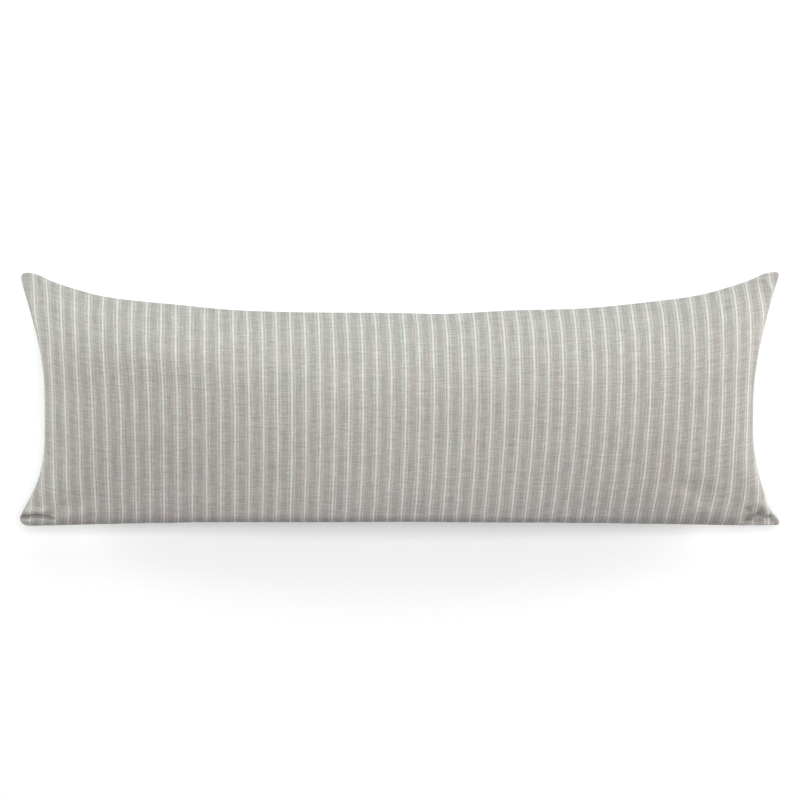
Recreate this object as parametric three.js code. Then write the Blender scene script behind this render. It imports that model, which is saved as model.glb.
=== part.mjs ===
// A long lumbar pillow in striped linen, lying on its back.
// Millimetres, +Z up. X runs along the pillow and +Y points to its upper long edge.
// The origin is on the resting plane, under the middle of the outline's box.
import * as THREE from 'three';
import { LoftGeometry } from 'three/addons/geometries/LoftGeometry.js';
import { mergeVertices } from 'three/addons/utils/BufferGeometryUtils.js';

// Cover, measured across its corner points; the round tips draw it in by about 2 mm a side
const coverLength = 918;
const coverHeight = 310;
const tipRounding = { reach: 9, pull: 2.7 };

// Filling: the seam's height above the resting plane, and the crown's height above the seam
const seamHeight = 58;
const frontCrown = 64;

// The surface under the pillow stops its back from bulging this many times as deep as the seam is high
const backBulge = 1.35;
const flatPatchBlend = 0.25;

// How full the filling stays towards the ends and towards the two long edges
const fullness = {
  ends: { power: 2.2, root: 0.22 },
  upper: { power: 2.0, root: 0.5 },
  lower: { power: 3.0, root: 0.4 },
};

// A pillow that has stood on its lower edge: the filling rolls out over that seam
const lowerRoll = { overhang: 8, topOfRoll: 0.8 };

// The outline's edges: deepest draw-in, where along the edge it is (-1 to 1), and how each half curves
// away from its corner, with a slow or quick start and a gentle or steep fall
const edges = {
  upper: { drawnIn: 51, deepestAt: 0, startBefore: 1.0, fallBefore: 3.4, startAfter: 1.0, fallAfter: 3.2 },
  lower: { drawnIn: 12, deepestAt: 0, startBefore: 1.0, fallBefore: 2.4, startAfter: 1.0, fallAfter: 2.4 },
  left: { drawnIn: 31, deepestAt: -0.12, startBefore: 1.7, fallBefore: 5.2, startAfter: 1.45, fallAfter: 3.1 },
  right: { drawnIn: 33, deepestAt: -0.12, startBefore: 1.0, fallBefore: 2.6, startAfter: 1.2, fallAfter: 2.2 },
};

// Places along the upper seam, in X, where it rises or dips a little
const upperWaves = [
  { at: -361, rise: -2.2, spread: 42 },
  { at: -264, rise: 1.4, spread: 45 },
  { at: 49, rise: -1.6, spread: 42 },
  { at: 146, rise: 1.8, spread: 50 },
  { at: 362, rise: -2.6, spread: 45 },
];

// The flat ears at the corners: which end and edge, the tip's lift from the seam's plane, the ear's reach
const ears = [
  { end: -1, edge: 1, lift: -7, reach: 62 },
  { end: 1, edge: 1, lift: -3, reach: 58 },
  { end: -1, edge: -1, lift: 4, reach: 60 },
  { end: 1, edge: -1, lift: -5, reach: 62 },
];
const fillingInEars = 0.2;

// Folds of the front panel: a ridge, or a hollow where the height is negative, along a line seen from above
const folds = [
  { name: 'left lip', fromX: -462, fromY: -147, toX: -412, toY: -150, halfWidth: 4.5, height: 7 },
  { name: 'left crease', fromX: -462, fromY: -140, toX: -414, toY: -143, halfWidth: 4, height: -3 },
  { name: 'right ear dent', fromX: 428, fromY: -138, toX: 446, toY: -140, halfWidth: 7, height: -7 },
  { name: 'right edge dent', fromX: 412, fromY: -144, toX: 420, toY: -145, halfWidth: 6, height: -4 },
];
const foldFade = 12; // how soon the folds reach their height, going inwards from the seam

// Points along the pillow and across each panel, closer together at the seams
const columns = 72;
const rows = 26;
const crowding = 0.5;
const curveDivisions = 1200;
const weldDistance = 0.01;

const { clamp, lerp } = THREE.MathUtils;

// A soft bump: 1 at no distance, falling away beyond the reach
function nearness(distance, reach) {
  return Math.exp(-((distance / reach) ** 2));
}

// Draw-in of an edge at a place along it, from -1 to 1
function drawIn(edge, along) {
  const before = along < edge.deepestAt;
  const reach = before ? (1 + along) / (1 + edge.deepestAt) : (1 - along) / (1 - edge.deepestAt);
  const fromCorner = clamp(reach, 0, 1);
  const start = before ? edge.startBefore : edge.startAfter;
  const fall = before ? edge.fallBefore : edge.fallAfter;
  return edge.drawnIn * (1 - (1 - fromCorner ** start) ** fall);
}

// Place on the outline seen from above; a runs from -1 to 1 along the pillow and b from -1 to 1 across it
function planPoint(a, b) {
  const x = (a * coverLength) / 2;
  const wave = upperWaves.reduce((sum, { at, rise, spread }) => sum + rise * nearness(x - at, spread), 0);
  const left = -coverLength / 2 + drawIn(edges.left, b);
  const right = coverLength / 2 - drawIn(edges.right, b);
  const lower = -coverHeight / 2 + drawIn(edges.lower, a);
  const upper = coverHeight / 2 - drawIn(edges.upper, a) + wave;
  return new THREE.Vector3(lerp(left, right, (1 + a) / 2), lerp(lower, upper, (1 + b) / 2), 0);
}

// Share of the filling at a place from the middle (0) to a seam (1 or -1)
function share(place, { power, root }) {
  return (1 - Math.min(1, Math.abs(place) ** power)) ** root;
}

function shareAlong(a) {
  return share(a, fullness.ends);
}

function shareAcross(b) {
  return share(b, b > 0 ? fullness.upper : fullness.lower);
}

// What the ears do at a place: thin the filling, lift the seam and round the tips
function earEffect(plan) {
  const effect = { filling: 1, lift: 0, rounding: new THREE.Vector3() };
  for (const ear of ears) {
    const tip = new THREE.Vector3((ear.end * coverLength) / 2, (ear.edge * coverHeight) / 2, 0);
    const distance = plan.distanceTo(tip);
    const near = nearness(distance, ear.reach);
    const pull = tipRounding.pull * nearness(distance, tipRounding.reach);
    effect.filling *= 1 - (1 - fillingInEars) * near;
    effect.lift += ear.lift * near;
    effect.rounding.add(new THREE.Vector3(-ear.end * pull, -ear.edge * pull, 0));
  }
  return effect;
}

// Height that the folds add to the front panel
function foldHeight(plan) {
  let height = 0;
  for (const fold of folds) {
    const from = new THREE.Vector3(fold.fromX, fold.fromY, 0);
    const to = new THREE.Vector3(fold.toX, fold.toY, 0);
    const closest = new THREE.Line3(from, to).closestPointToPoint(plan, true, new THREE.Vector3());
    height += fold.height * nearness(closest.distanceTo(plan), fold.halfWidth);
  }
  return height;
}

// Depth of the back, as a share of the seam's height: a bulge that the surface stops, with a soft turn
function flattened(bulge) {
  const turn = Math.max(flatPatchBlend - Math.abs(bulge - 1), 0);
  return Math.min(bulge, 1) - turn ** 2 / (4 * flatPatchBlend);
}

// A point of the front panel (side 1) or the back panel (side -1)
function panelPoint(side, a, b) {
  const plan = planPoint(a, b);
  const ear = earEffect(plan);
  const across = shareAcross(b);
  const filling = shareAlong(a) * across * ear.filling;
  const rolled = b < 0 ? Math.sin(Math.PI * Math.min(1, across / lowerRoll.topOfRoll)) ** 2 : 0;
  const front = frontCrown * filling + foldHeight(plan) * Math.min(1, foldFade * filling);
  const back = -seamHeight * flattened(backBulge * filling);
  const point = plan.add(ear.rounding);
  point.y -= lowerRoll.overhang * rolled * shareAlong(a) * ear.filling;
  point.z = seamHeight + ear.lift + (side > 0 ? front : back);
  return point;
}

// A panel's section at the middle of the pillow, from the lower seam to the upper one
class MiddleSection extends THREE.Curve {
  constructor(side) {
    super();
    this.side = side;
    this.arcLengthDivisions = curveDivisions;
  }

  getPoint(t) {
    return panelPoint(this.side, 0, 2 * t - 1);
  }
}

// One row of a panel's cloth, from the left end to the right one; it keeps its share of the panel's
// height in the middle section, where the cloth is arched, and at the flat ends
class ClothRow extends THREE.Curve {
  constructor(section, height) {
    super();
    this.side = section.side;
    this.atEnds = 2 * height - 1;
    this.atMiddle = 2 * section.getUtoTmapping(height) - 1;
    this.arcLengthDivisions = curveDivisions;
  }

  getPoint(t) {
    const a = 2 * t - 1;
    return panelPoint(this.side, a, lerp(this.atEnds, this.atMiddle, shareAlong(a)));
  }
}

// Steps from 0 to 1, closer together at both ends
function crowdedSteps(count) {
  return Array.from({ length: count + 1 }, (_, i) => {
    const turn = (2 * Math.PI * i) / count;
    return clamp(i / count - (crowding * Math.sin(turn)) / (2 * Math.PI), 0, 1);
  });
}

// Rings of cloth, each along the front and home along the back, skinned from the lower seam to the upper
function pillowGeometry() {
  const frontSection = new MiddleSection(1);
  const backSection = new MiddleSection(-1);
  const steps = crowdedSteps(columns);
  const rings = crowdedSteps(rows).map((height) => {
    const frontRow = new ClothRow(frontSection, height);
    const backRow = new ClothRow(backSection, height);
    const front = steps.map((step) => frontRow.getPointAt(step));
    const back = steps.slice(1, -1).map((step) => backRow.getPointAt(step));
    return [...front, ...back.reverse()];
  });
  const skin = new LoftGeometry(rings, { closed: true });
  const cloth = new THREE.BufferGeometry();
  cloth.setAttribute('position', skin.getAttribute('position'));
  cloth.setIndex(skin.getIndex());
  const solid = mergeVertices(cloth, weldDistance);
  solid.computeBoundingBox();
  const middle = solid.boundingBox.getCenter(new THREE.Vector3());
  solid.translate(-middle.x, -middle.y, -solid.boundingBox.min.z);
  solid.computeVertexNormals();
  return solid;
}

const stripedLinen = new THREE.MeshStandardMaterial({ color: 0xb7b4af, roughness: 0.95, metalness: 0 });

const pillow = new THREE.Mesh(pillowGeometry(), stripedLinen);
pillow.name = 'pillow';

const lumbarPillow = new THREE.Group();
lumbarPillow.add(pillow);

export default lumbarPillow;
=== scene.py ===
import math

import bpy
import numpy as np
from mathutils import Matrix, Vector, noise


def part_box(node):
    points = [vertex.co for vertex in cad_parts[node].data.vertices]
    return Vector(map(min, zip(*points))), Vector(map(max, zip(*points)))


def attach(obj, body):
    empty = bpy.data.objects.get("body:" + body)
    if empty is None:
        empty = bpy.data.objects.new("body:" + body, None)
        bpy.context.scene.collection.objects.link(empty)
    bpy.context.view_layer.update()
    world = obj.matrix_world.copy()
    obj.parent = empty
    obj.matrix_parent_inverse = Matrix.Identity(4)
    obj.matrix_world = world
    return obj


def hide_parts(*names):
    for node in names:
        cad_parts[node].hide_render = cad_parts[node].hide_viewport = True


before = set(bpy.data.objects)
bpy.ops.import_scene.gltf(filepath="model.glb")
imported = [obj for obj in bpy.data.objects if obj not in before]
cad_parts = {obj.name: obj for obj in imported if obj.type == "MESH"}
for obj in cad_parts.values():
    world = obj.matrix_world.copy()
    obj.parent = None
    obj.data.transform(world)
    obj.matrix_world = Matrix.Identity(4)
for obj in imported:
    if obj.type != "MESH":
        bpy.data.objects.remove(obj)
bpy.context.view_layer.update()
pillowLow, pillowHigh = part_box("pillow")
print("frame loaded, pillow is", [round(v * 1000, 1) for v in pillowHigh - pillowLow], "mm")

tiny = 1e-9  # keeps a division off zero

# the sewn cover, in metres; x along the pillow, y to its upper edge, z out of the front
cover = {
    "length": 0.918,  # flat, across the corner points
    "height": 0.310,
    "cellsAlong": 170,
    "cellsAcross": 70,
    "crowding": 0.5,  # cells get smaller towards the seam
    "cutDigits": 7,  # places on the cut are rounded, so that a row's cells share one height
    "runSamples": 4001,
    "runCrowding": 3,
    "bakeMargin": 0.01,
    "seamHeight": 0.058,
    "sewnWithin": 1e-6,
    "onSeam": 1e-5,  # a point this near the cut's edge is on the seam
    "seamCrease": 0.8,
    "backBulge": 1.35,  # the surface below flattens the back
    "flatPatchBlend": 0.25,
    "fillingInEars": 0.2,
    # left end, middle and right end of the front
    "crest": (0.5, 0.2, 0.2),  # its highest line, between the lower seam (-1) and the upper one (1)
    "lowerSlope": (0.60, 0.29, 0.47),  # share of the crown that falls away evenly towards the lower edge
    "slopePower": (1.7, 2.3, 2.4),
    "lowerDrop": (0.010, 0.0, 0.009),  # how far the lower seam hangs down
    "bendLine": (-0.1370, -0.1390, -0.1360),  # y of the turn down to the lower seam
    "middleToEnd": (0.1, 0.8),  # between these, from 0 to 1, the middle's values turn into an end's
    "dropFrom": -0.1,  # the hang starts here, between the lower seam (-1) and the upper one (1)
    # power and root of how the filling thins out towards a seam
    "endFullness": (2.2, 0.22),
    "upperFullness": (2.0, 0.85),
    "bendFullness": (2.6, 0.35),
    "backFullness": (3.0, 0.4),
}
cover["frontCrown"] = pillowHigh.z - cover["seamHeight"]

# how far each edge is drawn in, where it is deepest (-1 to 1), and how its halves leave the corners
edges = {
    "upper": {"drawnIn": 0.0515, "deepestAt": 0.0, "before": (1.0, 3.4), "after": (1.0, 3.2)},
    "lower": {"drawnIn": 0.0063, "deepestAt": 0.0, "before": (1.0, 2.9), "after": (1.0, 2.4)},
    "left": {"drawnIn": 0.0339, "deepestAt": -0.12, "before": (1.7, 5.2), "after": (1.45, 3.1)},
    "right": {"drawnIn": 0.0356, "deepestAt": -0.12, "before": (1.0, 2.6), "after": (1.2, 2.2)},
}

# small rises and dips of the two long seams
upperWaves = [
    {"at": -0.437, "rise": 0.0026, "spread": 0.013},
    {"at": -0.361, "rise": -0.0022, "spread": 0.042},
    {"at": -0.264, "rise": 0.0014, "spread": 0.045},
    {"at": 0.049, "rise": -0.0016, "spread": 0.042},
    {"at": 0.146, "rise": 0.0018, "spread": 0.050},
    {"at": 0.362, "rise": -0.0026, "spread": 0.045},
    {"at": 0.438, "rise": 0.0022, "spread": 0.012},
]

lowerWaves = [
    {"at": -0.455, "rise": 0.0010, "spread": 0.035},
    {"at": -0.070, "rise": 0.0010, "spread": 0.220},
    {"at": 0.459, "rise": 0.0021, "spread": 0.040},
]

# the same for the ends, out from the pillow, by height
endWaves = {
    "left": [
        {"at": -0.0850, "rise": 0.0012, "spread": 0.045},
        {"at": -0.1460, "rise": 0.0016, "spread": 0.008},
    ],
    "right": [
        {"at": -0.1150, "rise": 0.0011, "spread": 0.032},
        {"at": -0.1290, "rise": -0.0026, "spread": 0.010},
        {"at": -0.1480, "rise": 0.0028, "spread": 0.007},
    ],
}

# flat ears at the corners; the tip is lifted out of the seam's plane and rounded
ears = [
    {"end": -1, "edge": 1, "lift": -0.007, "reach": 0.062, "tipRadius": 0.012},
    {"end": 1, "edge": 1, "lift": -0.003, "reach": 0.058, "tipRadius": 0.008},
    {"end": -1, "edge": -1, "lift": 0.004, "reach": 0.045, "tipRadius": 0.013},
    {"end": 1, "edge": -1, "lift": 0.003, "reach": 0.045, "tipRadius": 0.006},
]


# a soft bump: 1 at no distance, falling away beyond the reach
def nearness(distance, reach):
    return np.exp(-((distance / reach) ** 2))


def waves(place, bumps):
    return sum(bump["rise"] * nearness(place - bump["at"], bump["spread"]) for bump in bumps)


def smoothStep(value, start, end):
    t = np.clip((value - start) / (end - start), 0, 1)
    return t * t * (3 - 2 * t)


# draw-in of an edge at a place along it, from -1 to 1
def drawIn(edge, along):
    deepest = edge["deepestAt"]
    before = along < deepest
    reach = np.where(before, (1 + along) / (1 + deepest), (1 - along) / (1 - deepest))
    start = np.where(before, edge["before"][0], edge["after"][0])
    fall = np.where(before, edge["before"][1], edge["after"][1])
    return edge["drawnIn"] * (1 - (1 - np.clip(reach, 0, 1) ** start) ** fall)


def fullness(place, powerAndRoot):
    power, root = powerAndRoot
    return (1 - np.clip(np.abs(place) ** power, 0, 1)) ** root


# a value given for the left end, the middle and the right end
def alongCover(name, a):
    start, end = cover["middleToEnd"]
    toLeft, toRight = smoothStep(a, -start, -end), smoothStep(a, start, end)
    atLeft, atMiddle, atRight = cover[name]
    return atLeft * toLeft + atMiddle * (1 - toLeft - toRight) + atRight * toRight


def fullnessAcross(side, a, b, fromSeam, seamToBend):
    crest = alongCover("crest", a)
    place = np.where(b > crest, (b - crest) / (1 - crest), (crest - b) / (1 + crest))
    if side > 0:
        slope = alongCover("lowerSlope", a)
        evenFall = 1 - np.abs(place) ** alongCover("slopePower", a)
        belowBend = np.clip(1 - fromSeam / seamToBend, 0, 1)
        lower = slope * evenFall + (1 - slope) * fullness(belowBend, cover["bendFullness"])
    else:
        lower = fullness(place, cover["backFullness"])
    return np.where(b > crest, fullness(place, cover["upperFullness"]), lower)


# turns the square corners of the cut into round ones
def roundCorners(a, b):
    for ear in ears:
        reachA, reachB = 2 * ear["tipRadius"] / cover["length"], 2 * ear["tipRadius"] / cover["height"]
        pastA = np.clip((a * ear["end"] - 1 + reachA) / reachA, 0, 1)
        pastB = np.clip((b * ear["edge"] - 1 + reachB) / reachB, 0, 1)
        pull = 1 - np.maximum(pastA, pastB) / np.maximum(np.hypot(pastA, pastB), tiny)
        atTip = (pastA > 0) & (pastB > 0)
        a = np.where(atTip, a - ear["end"] * reachA * pastA * pull, a)
        b = np.where(atTip, b - ear["edge"] * reachB * pastB * pull, b)
    return a, b


# a point of the front (side 1) or back (side -1) panel; a and b run from -1 to 1
def panelPoint(side, a, b):
    halfLength, halfHeight = cover["length"] / 2, cover["height"] / 2
    planA, planB = roundCorners(a, b)
    left = -halfLength + drawIn(edges["left"], planB) - waves(planB * halfHeight, endWaves["left"])
    right = halfLength - drawIn(edges["right"], planB) + waves(planB * halfHeight, endWaves["right"])
    lower = -halfHeight + drawIn(edges["lower"], planA) + waves(planA * halfLength, lowerWaves)
    upper = halfHeight - drawIn(edges["upper"], planA) + waves(planA * halfLength, upperWaves)
    x = left + (right - left) * (1 + planA) / 2
    y = lower + (upper - lower) * (1 + planB) / 2
    earFilling = 1.0
    lift = -alongCover("lowerDrop", a) * smoothStep(b, cover["dropFrom"], -1)
    for ear in ears:
        away = np.hypot(x - ear["end"] * halfLength, y - ear["edge"] * halfHeight)
        near = nearness(away, ear["reach"])
        earFilling = earFilling * (1 - (1 - cover["fillingInEars"]) * near)
        lift = lift + ear["lift"] * near
    along = fullness(a, cover["endFullness"])
    across = fullnessAcross(side, a, b, y - lower, alongCover("bendLine", a) - lower)
    share = along * across * earFilling
    bulge = cover["backBulge"] * share
    turn = np.clip(cover["flatPatchBlend"] - np.abs(bulge - 1), 0, None)
    flattened = np.minimum(bulge, 1) - turn ** 2 / (4 * cover["flatPatchBlend"])
    seam = cover["seamHeight"] + lift
    z = seam + (cover["frontCrown"] * share if side > 0 else -seam * flattened)
    return np.stack([x, y, z], axis=-1)


# how far along a run of points each of them is
def lengthAlong(points):
    steps = np.linalg.norm(np.diff(points, axis=0), axis=1)
    return np.concatenate([[0], np.cumsum(steps)])


# where the cloth at the flat places u, v (0 to 1) of a panel lies once it is filled, and how far along
# its row it is from the middle of the pillow
def filledPanel(side, u, v):
    even = np.linspace(-1, 1, cover["runSamples"])
    dense = np.sign(even) * (1 - (1 - np.abs(even)) ** cover["runCrowding"])  # finer near the seams
    section = lengthAlong(panelPoint(side, np.zeros_like(dense), dense))
    along = fullness(dense, cover["endFullness"])
    points, fromMiddle = np.zeros((len(u), 3)), np.zeros(len(u))
    for row in np.unique(v):
        atMiddle = np.interp(row, section / section[-1], dense)
        atEnds = 2 * row - 1
        run = panelPoint(side, dense, atEnds + (atMiddle - atEnds) * along)
        length = lengthAlong(run)
        here = v == row
        for axis in range(3):
            points[here, axis] = np.interp(u[here], length / length[-1], run[:, axis])
        fromMiddle[here] = u[here] * length[-1] - np.interp(0, run[:, 0], length)
    return points, fromMiddle


# how the stripes lie on the cover: they draw together downwards and bow a little, as cloth on a full
# pillow does, and stand a little further apart at the ends
lay = {
    "middleGain": 1.024,
    "endLoss": 0.0228,
    "drift": 0.00175,
    "halfRun": 0.4,
    "fan": 0.125,  # for each metre up the cloth
    "bow": 0.28,
    "bowLevel": 0.034,
}

# where a corner or the filling pulls the stripes over, to the left or (negative) to the right
skews = [
    {"at": (-0.450, 0.112), "shift": 0.0052, "reach": 0.032},
    {"at": (0.459, 0.155), "shift": 0.0100, "reach": 0.037},
    {"at": (0.440, 0.100), "shift": -0.0018, "reach": 0.030},
    {"at": (0.430, -0.120), "shift": -0.0065, "reach": 0.045},
    {"at": (-0.459, -0.155), "shift": -0.0075, "reach": 0.040},
    {"at": (-0.385, -0.152), "shift": -0.0016, "reach": 0.030},
    {"at": (-0.290, -0.125), "shift": 0.0033, "reach": 0.090},
    {"at": (0.205, -0.135), "shift": 0.0022, "reach": 0.085},
    {"at": (0.360, -0.098), "shift": -0.0024, "reach": 0.040},
    {"at": (0.375, -0.152), "shift": 0.0020, "reach": 0.028},
    {"at": (0.410, -0.035), "shift": -0.0020, "reach": 0.045},
    {"at": (0.459, -0.150), "shift": -0.0080, "reach": 0.012},
]


def stripePlace(fromMiddle, up, points):
    above = up - lay["bowLevel"]
    place = fromMiddle * (1 - lay["fan"] * above) + lay["bow"] * above ** 2
    share = place / lay["halfRun"]
    place = lay["middleGain"] * place * (1 - lay["endLoss"] * share ** 2) - lay["drift"] * share ** 2
    for skew in skews:
        away = np.hypot(points[:, 0] - skew["at"][0], points[:, 1] - skew["at"][1])
        place = place + skew["shift"] * nearness(away, skew["reach"])
    return place


# below the bend the stripes keep to the way they lean above it
def levelOnFront(u, up, points):
    level = up.copy()
    for column in np.unique(u):
        here = u == column
        bend = alongCover("bendLine", 2 * column - 1)
        below = np.minimum(points[here, 1] - bend, 0)
        atBend = np.interp(bend, points[here, 1], up[here])
        level[here] = np.where(below < 0, atBend + below, up[here])
    return level


def getPoints(piece, name="co"):
    values = np.zeros(len(piece.data.vertices) * 3, np.float32)
    piece.data.vertices.foreach_get(name, values)
    return values.reshape(-1, 3).astype(float)


def setPoints(piece, points):
    piece.data.vertices.foreach_set("co", points.astype(np.float32).ravel())
    piece.data.update()


def setAttribute(piece, name, values):
    kind, field = ("FLOAT_VECTOR", "vector") if values.ndim > 1 else ("FLOAT", "value")
    attribute = piece.data.attributes.new(name, kind, "POINT")
    attribute.data.foreach_set(field, values.astype(np.float32).ravel())


def getAttribute(piece, name, width):
    values = np.zeros(len(piece.data.vertices) * width, np.float32)
    piece.data.attributes[name].data.foreach_get("vector" if width == 3 else "value", values)
    return values.reshape(-1, width).astype(float) if width == 3 else values.astype(float)


def setMap(piece, name, places):
    mesh = piece.data
    corner = np.zeros(len(mesh.loops), np.int32)
    mesh.loops.foreach_get("vertex_index", corner)
    mesh.uv_layers[name].data.foreach_set("uv", places[corner].astype(np.float32).ravel())


def selectOnly(*pieces):
    bpy.ops.object.select_all(action="DESELECT")
    for piece in pieces:
        piece.select_set(True)
    bpy.context.view_layer.objects.active = pieces[0]


# an edit mode operator, on all of the active mesh
def editWhole(operator, **settings):
    bpy.ops.object.mode_set(mode="EDIT")
    bpy.ops.mesh.select_all(action="SELECT")
    operator(**settings)
    bpy.ops.object.mode_set(mode="OBJECT")


# one panel: a flat grid of cloth, with its cut marked on it, then laid over the filling
def cutPanel(name, side):
    bpy.ops.object.select_all(action="DESELECT")
    cells = {"x_subdivisions": cover["cellsAlong"], "y_subdivisions": cover["cellsAcross"]}
    bpy.ops.mesh.primitive_grid_add(size=1, **cells)
    panel = bpy.context.object
    panel.name = name
    flat = getPoints(panel) + 0.5
    places = flat - cover["crowding"] * np.sin(2 * np.pi * flat) / (2 * np.pi)
    u, v, _ = np.clip(np.round(places, cover["cutDigits"]), 0, 1).T
    up = (v - 0.5) * cover["height"]
    setAttribute(panel, "cut", np.stack([(u - 0.5) * cover["length"], up, np.zeros_like(u)], axis=-1))
    setAttribute(panel, "side", np.full(len(u), side))
    points, fromMiddle = filledPanel(side, u, v)
    level = levelOnFront(u, up, points) if side > 0 else up
    panel.data.uv_layers[0].name = "cloth"  # metres across and along the stripes
    setMap(panel, "cloth", np.stack([stripePlace(fromMiddle, level, points), up], axis=-1))
    margin = cover["bakeMargin"]
    bakeUp = (0.5 + margin / 2 if side > 0 else margin) + (0.5 - 1.5 * margin) * v
    panel.data.uv_layers.new(name="OFBake")  # both panels in one square, the front above the back
    setMap(panel, "OFBake", np.stack([margin + (1 - 2 * margin) * u, bakeUp], axis=-1))
    setPoints(panel, points)
    if side < 0:
        editWhole(bpy.ops.mesh.flip_normals)
    return panel


def sewPanels():
    front = cutPanel("stripedCover", 1)
    back = cutPanel("backPanel", -1)
    selectOnly(front, back)
    bpy.ops.object.join()
    editWhole(bpy.ops.mesh.remove_doubles, threshold=cover["sewnWithin"])  # the seam
    print("panels sewn,", len(front.data.vertices), "points")
    return front


# the filling pushes the cover out: cloth with pressure, whose rest shape is the cover laid flat
filling = {
    "frames": 20,
    "quality": 6,
    "mass": 0.3,
    "pressure": 4.0,
    "stretch": 25.0,
    "shear": 8.0,
    "bend": 1.5,
    "airDamping": 2.0,
    "restingBelow": 1e-5,  # the flat patch that it lies on is held
    "mostMovement": 0.0015,
    "fadeAtSeam": 0.09,
}


# how far a place on the cut is from the nearer end and from the nearer long edge
def cutDistances(cut):
    return cover["length"] / 2 - np.abs(cut[:, 0]), cover["height"] / 2 - np.abs(cut[:, 1])


def seamDistance(cut):
    return np.minimum(*cutDistances(cut))


def fillCover(piece):
    start = getPoints(piece)
    cut = getAttribute(piece, "cut", 3)
    resting = start[:, 2] < filling["restingBelow"]
    held = np.nonzero((seamDistance(cut) < cover["onSeam"]) | resting)[0]
    group = piece.vertex_groups.new(name="held")
    group.add(held.tolist(), 1.0, "REPLACE")
    piece.shape_key_add(name="filled")
    laidFlat = piece.shape_key_add(name="laidFlat")
    laidFlat.data.foreach_set("co", cut.astype(np.float32).ravel())
    cloth = piece.modifiers.new("filling", "CLOTH")
    settings = cloth.settings
    settings.quality = filling["quality"]
    settings.mass = filling["mass"]
    settings.tension_stiffness = filling["stretch"]
    settings.compression_stiffness = filling["stretch"]
    settings.shear_stiffness = filling["shear"]
    settings.bending_stiffness = filling["bend"]
    settings.air_damping = filling["airDamping"]
    settings.vertex_group_mass = "held"
    settings.rest_shape_key = laidFlat
    settings.use_pressure = True
    settings.uniform_pressure_force = filling["pressure"]
    settings.effector_weights.gravity = 0
    cloth.collision_settings.use_collision = False
    cloth.point_cache.frame_start = 1
    cloth.point_cache.frame_end = filling["frames"]
    scene = bpy.context.scene
    for number in range(1, filling["frames"] + 1):
        scene.frame_set(number)
    settled = piece.evaluated_get(bpy.context.evaluated_depsgraph_get())
    moved = getPoints(settled) - start
    far = np.linalg.norm(moved, axis=1)
    most = filling["mostMovement"]
    keep = most * np.tanh(far / most) / np.maximum(far, tiny)
    keep *= smoothStep(seamDistance(cut), 0, filling["fadeAtSeam"])
    selectOnly(piece)
    bpy.ops.object.modifier_remove(modifier="filling")
    bpy.ops.object.shape_key_remove(all=True)
    piece.vertex_groups.clear()
    points = start + moved * keep[:, None]
    points[:, 2] = np.maximum(points[:, 2], 0)
    setPoints(piece, points)
    scene.frame_set(1)
    print("cover filled, pushed up to", round(far.max() * 1000, 1), "mm before the cap")


def smoothCover(piece):
    mesh = piece.data
    seam = seamDistance(getAttribute(piece, "cut", 3)) < cover["onSeam"]
    ends = np.zeros(len(mesh.edges) * 2, np.int32)
    mesh.edges.foreach_get("vertices", ends)
    onSeam = seam[ends.reshape(-1, 2)].all(axis=1)
    crease = mesh.attributes.new("crease_edge", "FLOAT", "EDGE")
    crease.data.foreach_set("value", (cover["seamCrease"] * onSeam).astype(np.float32))
    sharp = mesh.attributes.get("sharp_edge") or mesh.attributes.new("sharp_edge", "BOOLEAN", "EDGE")
    sharp.data.foreach_set("value", onSeam)
    selectOnly(piece)
    finer = piece.modifiers.new("finer", "SUBSURF")
    finer.levels = finer.render_levels = 1
    bpy.ops.object.modifier_apply(modifier="finer")
    bpy.ops.object.shade_smooth()
    print("cover smoothed,", len(mesh.polygons), "faces")


# folds pressed into the front: a hollow or a swell along a line, x and y in metres
folds = [
    # hollow by the lower right ear, the pinch at its root, and small dents and a swell round them
    {"line": [(0.4240, -0.1462), (0.4325, -0.1405)], "halfWidth": 0.0056, "height": -0.0100},
    {"line": [(0.4425, -0.1440), (0.4465, -0.1436)], "halfWidth": 0.0032, "height": -0.0065},
    {"line": [(0.4160, -0.1462), (0.4190, -0.1464)], "halfWidth": 0.0030, "height": -0.0030},
    {"line": [(0.4140, -0.1488), (0.4500, -0.1486)], "halfWidth": 0.0030, "height": -0.0030},
    {"line": [(0.4175, -0.1335), (0.4190, -0.1340)], "halfWidth": 0.0028, "height": -0.0018},
    {"line": [(0.4360, -0.1270), (0.4300, -0.1250)], "halfWidth": 0.0050, "height": 0.0022},
    # ridge round the upper right ear
    {
        "line": [(0.4250, 0.1432), (0.4410, 0.1436), (0.4490, 0.1300)],
        "halfWidth": 0.0026,
        "height": 0.0018,
    },
    # crease over the lower left ear, the lip below it and the swell above it
    {
        "line": [
            (-0.4590, -0.1432),
            (-0.4455, -0.1428),
            (-0.4370, -0.1417),
            (-0.4230, -0.1432),
            (-0.4160, -0.1453),
        ],
        "halfWidth": 0.0016,
        "height": -0.0070,
    },
    {"line": [(-0.4500, -0.1476), (-0.4430, -0.1478)], "halfWidth": 0.0030, "height": 0.0022},
    {"line": [(-0.4580, -0.1365), (-0.4260, -0.1360)], "halfWidth": 0.0040, "height": 0.0025},
]

# soft shoulders of the filling under the front, and one slack place by the lower edge
shoulders = [
    {"line": [(-0.400, 0.055), (-0.225, 0.052)], "halfWidth": 0.026, "height": 0.0020},
    {"line": [(0.110, 0.042), (0.190, 0.046)], "halfWidth": 0.028, "height": 0.0018},
    {"line": [(0.424, -0.090), (0.434, -0.128)], "halfWidth": 0.018, "height": 0.0032},
    {"line": [(0.362, -0.147), (0.412, -0.147)], "halfWidth": 0.013, "height": -0.0036},
    {"line": [(-0.404, -0.098), (-0.398, -0.138)], "halfWidth": 0.020, "height": 0.0038},
    {"line": [(-0.414, 0.135), (-0.410, 0.105)], "halfWidth": 0.020, "height": 0.0032},
]

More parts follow.
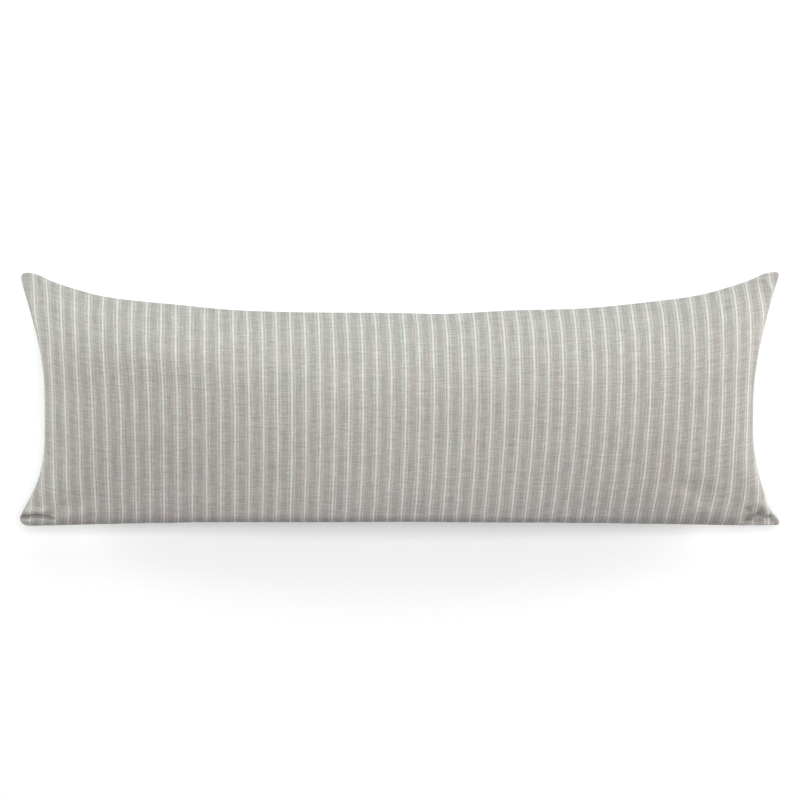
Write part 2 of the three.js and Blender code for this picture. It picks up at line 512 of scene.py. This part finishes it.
# gathers along the seam and lumps of the filling, along the cover's normals
puckers = {
    "height": 0.0007,
    "reach": 0.012,
    "spacing": 0.016,
    "seed": (7.3, 2.1),  # the first sets the two panels' gathers apart
    "lumpHeight": 0.0012,
    "lumpSize": 0.11,
    "lumpFade": 0.04,
    "startsWithin": 0.004,  # the seam itself stays as it was sewn
    "restingBelow": 2e-4,  # and so does the patch that it lies on
}


def lineDistance(points, line):
    nearest = np.full(len(points), np.inf)
    for start, end in zip(np.array(line[:-1]), np.array(line[1:])):
        along = np.clip(((points - start) @ (end - start)) / ((end - start) @ (end - start)), 0, 1)
        away = np.linalg.norm(points - (start + along[:, None] * (end - start)), axis=1)
        nearest = np.minimum(nearest, away)
    return nearest


def pressFolds(piece):
    points = getPoints(piece)
    normals = getPoints(piece, "normal")
    cut = getAttribute(piece, "cut", 3)
    side = getAttribute(piece, "side", 1)
    fromEnd, fromEdge = cutDistances(cut)
    fromSeam = np.minimum(fromEnd, fromEdge)
    inward = smoothStep(fromSeam, 0, puckers["startsWithin"])
    pressed = np.zeros(len(points))
    for fold in folds + shoulders:
        away = lineDistance(points[:, :2], fold["line"])
        pressed += fold["height"] * nearness(away, fold["halfWidth"]) * inward * (side > 0)
    alongSeam = np.where(fromEnd < fromEdge, cut[:, 1], cut[:, 0])
    sideSeed, seed = puckers["seed"]
    lift = np.zeros(len(points))
    for i, point in enumerate(points):
        gather = noise.noise(Vector((alongSeam[i] / puckers["spacing"], side[i] * sideSeed, seed)))
        gather *= math.exp(-fromSeam[i] / puckers["reach"]) * inward[i]
        lump = noise.noise(Vector(point) / puckers["lumpSize"])
        lump *= min(1, fromSeam[i] / puckers["lumpFade"])
        lift[i] = puckers["height"] * gather + puckers["lumpHeight"] * lump
    lift[points[:, 2] < puckers["restingBelow"]] = 0
    points = points + normals * lift[:, None]
    points[:, 2] = np.maximum(points[:, 2] + pressed, 0)
    setPoints(piece, points)
    deepest, highest = round(pressed.min() * 1000, 1), round(pressed.max() * 1000, 1)
    print("folds pressed, from", deepest, "to", highest, "mm")


cushion = sewPanels()
fillCover(cushion)
smoothCover(cushion)
pressFolds(cushion)

# linen, sizes in metres on the cloth, colours linear
linen = {
    "repeat": 0.0171,  # from white stripe to white stripe
    "offset": -0.0077,
    "whiteHalf": 0.0011,
    "lineFrom": 0.0031,  # the thin pale line at each side of a white stripe
    "lineTo": 0.0045,
    "softEdge": 0.0004,
    "yarn": 0.0008,
    "band": (0.402, 0.393, 0.371),
    "gap": (0.430, 0.427, 0.403),
    "line": (0.503, 0.503, 0.475),
    "white": (0.626, 0.635, 0.601),
    "greyGreen": (0.972, 1.005, 0.996),
    "mauve": (1.026, 0.990, 0.998),
    "tintOnWhite": 0.45,
    "slubsOnWhite": 0.6,
    # streaks for each metre across and along the stripes
    "tintRuns": (130, 30),
    "wanderRuns": (40, 22),
    "frayRuns": (500, 260),
    "weftRuns": (55, 800),
    "warpRuns": (900, 30),
    "mottleRuns": (420, 420),
    "barRuns": (9, 330),
    # how far they push a yarn aside, or how much they darken and lighten it
    "wander": 0.0012,
    "fray": 0.0007,
    "weft": 0.10,
    "warp": 0.10,
    "mottle": 0.07,
    "bars": 0.035,
    "tintRange": (0.3, 0.7),  # the part of the streaks' range that is used
    "slubRange": (0.25, 0.75),
    "weaveRelief": 0.5,
    "slubRelief": 2.0,
    "reliefStrength": 0.35,
    "reliefDepth": 0.0004,
    "roughness": 0.92,
    "specular": 0.1,
}


class Nodes:
    def __init__(self, tree):
        self.tree = tree

    def add(self, kind, **settings):
        node = self.tree.nodes.new(kind)
        for name, value in settings.items():
            setattr(node, name, value)
        return node

    def put(self, socket, value):
        if isinstance(value, bpy.types.NodeSocket):
            self.tree.links.new(value, socket)
        else:
            socket.default_value = value

    def math(self, operation, *values):
        node = self.add("ShaderNodeMath", operation=operation)
        for socket, value in zip(node.inputs, values):
            self.put(socket, value)
        return node.outputs[0]

    def ramp(self, value, low, high, start=0.0, end=1.0):
        node = self.add("ShaderNodeMapRange", interpolation_type="SMOOTHSTEP")
        items = {"Value": value, "From Min": low, "From Max": high, "To Min": start, "To Max": end}
        for name, item in items.items():
            self.put(node.inputs[name], item)
        return node.outputs["Result"]

    def blend(self, factor, first, second, kind="MIX"):
        node = self.add("ShaderNodeMix", data_type="RGBA", blend_type=kind)
        self.put(node.inputs["Factor"], factor)
        for socket, value in ((node.inputs[6], first), (node.inputs[7], second)):
            self.put(socket, (*value, 1) if isinstance(value, tuple) else value)
        return node.outputs[2]

    def streaks(self, u, v, perMetre, detail=2.0):
        place = self.add("ShaderNodeCombineXYZ")
        self.put(place.inputs["X"], self.math("MULTIPLY", u, perMetre[0]))
        self.put(place.inputs["Y"], self.math("MULTIPLY", v, perMetre[1]))
        texture = self.add("ShaderNodeTexNoise", noise_dimensions="2D")
        self.put(texture.inputs["Vector"], place.outputs[0])
        self.put(texture.inputs["Scale"], 1.0)
        self.put(texture.inputs["Detail"], detail)
        return texture.outputs[0]


def stripedLinen():
    material = bpy.data.materials.new("stripedLinen")
    material.use_nodes = True
    n = Nodes(material.node_tree)
    shader = material.node_tree.nodes["Principled BSDF"]
    cloth = n.add("ShaderNodeUVMap", uv_map="cloth")
    parts = n.add("ShaderNodeSeparateXYZ")
    n.put(parts.inputs[0], cloth.outputs[0])
    u, v = parts.outputs["X"], parts.outputs["Y"]

    def pushed(runs, most):
        return n.math("MULTIPLY", n.math("SUBTRACT", n.streaks(u, v, linen[runs]), 0.5), linen[most])

    def slubs(runs, most):
        streaks = n.streaks(u, v, linen[runs])
        return n.ramp(streaks, *linen["slubRange"], 1 - linen[most], 1 + linen[most])

    def step(place, start=0.0, end=1.0):
        low, high = linen[place] - linen["softEdge"], linen[place] + linen["softEdge"]
        return n.ramp(fromWhite, low, high, start, end)

    # yarns wander a little, so a stripe's edge isn't ruled
    aside = n.math("ADD", pushed("wanderRuns", "wander"), pushed("frayRuns", "fray"))
    stripeU = n.math("ADD", n.math("ADD", u, linen["offset"]), aside)
    fromWhite = n.math("PINGPONG", stripeU, linen["repeat"] / 2)
    white = step("whiteHalf", 1.0, 0.0)
    colour = n.blend(step("lineFrom"), linen["gap"], linen["line"])
    colour = n.blend(step("lineTo"), colour, linen["band"])
    colour = n.blend(white, colour, linen["white"])
    # dyed yarns turn mauve or grey-green along their length
    tint = n.ramp(n.streaks(u, v, linen["tintRuns"]), *linen["tintRange"])
    tint = n.blend(tint, linen["greyGreen"], linen["mauve"])
    colour = n.blend(n.ramp(white, 0.0, 1.0, 1.0, linen["tintOnWhite"]), colour, tint, "MULTIPLY")
    # slubs: long pale and dark runs of weft and of warp
    weft, warp = slubs("weftRuns", "weft"), slubs("warpRuns", "warp")
    mottle, bars = slubs("mottleRuns", "mottle"), slubs("barRuns", "bars")
    shade = n.math("MULTIPLY", n.math("MULTIPLY", weft, warp), n.math("MULTIPLY", mottle, bars))
    # the white yarns are evener than the dyed ones
    unevenness = n.ramp(white, 0.0, 1.0, 1.0, linen["slubsOnWhite"])
    shade = n.math("ADD", n.math("MULTIPLY", n.math("SUBTRACT", shade, 1.0), unevenness), 1.0)
    grey = n.add("ShaderNodeCombineXYZ")
    for socket in grey.inputs:
        n.put(socket, shade)
    n.put(shader.inputs["Base Color"], n.blend(1.0, colour, grey.outputs[0], "MULTIPLY"))
    n.put(shader.inputs["Roughness"], linen["roughness"])
    n.put(shader.inputs["Specular IOR Level"], linen["specular"])
    # plain weave: warp and weft cross over and under
    warpWave = n.math("SINE", n.math("MULTIPLY", u, math.pi / linen["yarn"]))
    weftWave = n.math("SINE", n.math("MULTIPLY", v, math.pi / linen["yarn"]))
    weave = n.math("MULTIPLY", n.math("MULTIPLY", warpWave, weftWave), linen["weaveRelief"])
    runs = n.math("MULTIPLY", n.math("ADD", weft, warp), linen["slubRelief"])
    bump = n.add("ShaderNodeBump")
    n.put(bump.inputs["Strength"], linen["reliefStrength"])
    n.put(bump.inputs["Distance"], linen["reliefDepth"])
    n.put(bump.inputs["Height"], n.math("ADD", weave, runs))
    n.put(shader.inputs["Normal"], bump.outputs[0])
    return material


cushion.data.materials.append(stripedLinen())
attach(cushion, "root")
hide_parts("pillow")
print("cover dressed")

# plain pale floor, soft light from overhead, from beyond the upper edge and from both ends, and a camera
# square above the front
studio = {
    "white": (1, 1, 1, 1),
    "floorSize": 40.0,
    "floorBelow": 0.0005,
    "floorTone": (0.87, 0.91, 0.91),
    "floorRoughness": 0.9,
    "floorSpecular": 0.1,
    "floorGlow": 0.20,
    "farGlow": 0.95,  # keeps the floor pale where the lamps don't reach
    "glowReach": (0.8, 2.2),
    "worldGlow": 0.03,
    "cameraX": 0.0006,
    "cameraY": -0.0017,
    "cameraHeight": 2.6,
    "cameraReach": 100.0,
    "sensor": 36.0,
    "frameWidth": 0.9634,  # metres across the picture, in the seam's plane
}

lamps = [
    {"name": "overhead", "place": (0, 0.1, 3.0), "size": 1.4, "power": 66.6, "tint": (0.99, 0.92, 0.94)},
    {"name": "upperKey", "place": (0, 2.0, 1.4), "size": 1.8, "power": 15.7, "tint": (0.80, 1, 0.98)},
    {"name": "rightFill", "place": (2.3, 0.7, 0.6), "size": 1.1, "power": 38.4, "tint": (1, 0.97, 0.92)},
    {"name": "leftFill", "place": (-2.3, 0.7, 0.6), "size": 1.1, "power": 27.0, "tint": (0.97, 1, 0.92)},
]


def makeFloor():
    bpy.ops.object.select_all(action="DESELECT")
    bpy.ops.mesh.primitive_plane_add(size=studio["floorSize"], location=(0, 0, -studio["floorBelow"]))
    floor = bpy.context.object
    floor.name = "floor"
    material = bpy.data.materials.new("paleFloor")
    material.use_nodes = True
    n = Nodes(material.node_tree)
    shader = material.node_tree.nodes["Principled BSDF"]
    n.put(shader.inputs["Base Color"], (*studio["floorTone"], 1))
    n.put(shader.inputs["Roughness"], studio["floorRoughness"])
    n.put(shader.inputs["Specular IOR Level"], studio["floorSpecular"])
    n.put(shader.inputs["Emission Color"], studio["white"])
    away = n.add("ShaderNodeVectorMath", operation="LENGTH")
    n.put(away.inputs[0], n.add("ShaderNodeTexCoord").outputs["Object"])
    glow = n.ramp(away.outputs["Value"], *studio["glowReach"], studio["floorGlow"], studio["farGlow"])
    n.put(shader.inputs["Emission Strength"], glow)
    floor.data.materials.append(material)


def makeLight():
    world = bpy.data.worlds.new("studio")
    bpy.context.scene.world = world
    world.use_nodes = True
    background = world.node_tree.nodes["Background"]
    background.inputs["Color"].default_value = studio["white"]
    background.inputs["Strength"].default_value = studio["worldGlow"]
    for lamp in lamps:
        bpy.ops.object.light_add(type="AREA", location=lamp["place"])
        light = bpy.context.object
        light.name = lamp["name"]
        light.data.size = lamp["size"]
        light.data.energy = lamp["power"]
        light.data.color = lamp["tint"]
        light.rotation_euler = (-Vector(lamp["place"])).to_track_quat("-Z", "Y").to_euler()


def makeCamera():
    place = (studio["cameraX"], studio["cameraY"], studio["cameraHeight"])
    bpy.ops.object.camera_add(location=place, rotation=(0, 0, 0))
    camera = bpy.context.object
    toSeam = studio["cameraHeight"] - cover["seamHeight"]
    camera.data.sensor_width = studio["sensor"]
    camera.data.lens = studio["sensor"] * toSeam / studio["frameWidth"]
    camera.data.clip_end = studio["cameraReach"]
    bpy.context.scene.camera = camera


makeFloor()
makeLight()
makeCamera()
bpy.context.scene.view_settings.view_transform = "Standard"
print("studio set,", len(lamps), "lamps")

bpy.context.view_layer.update()
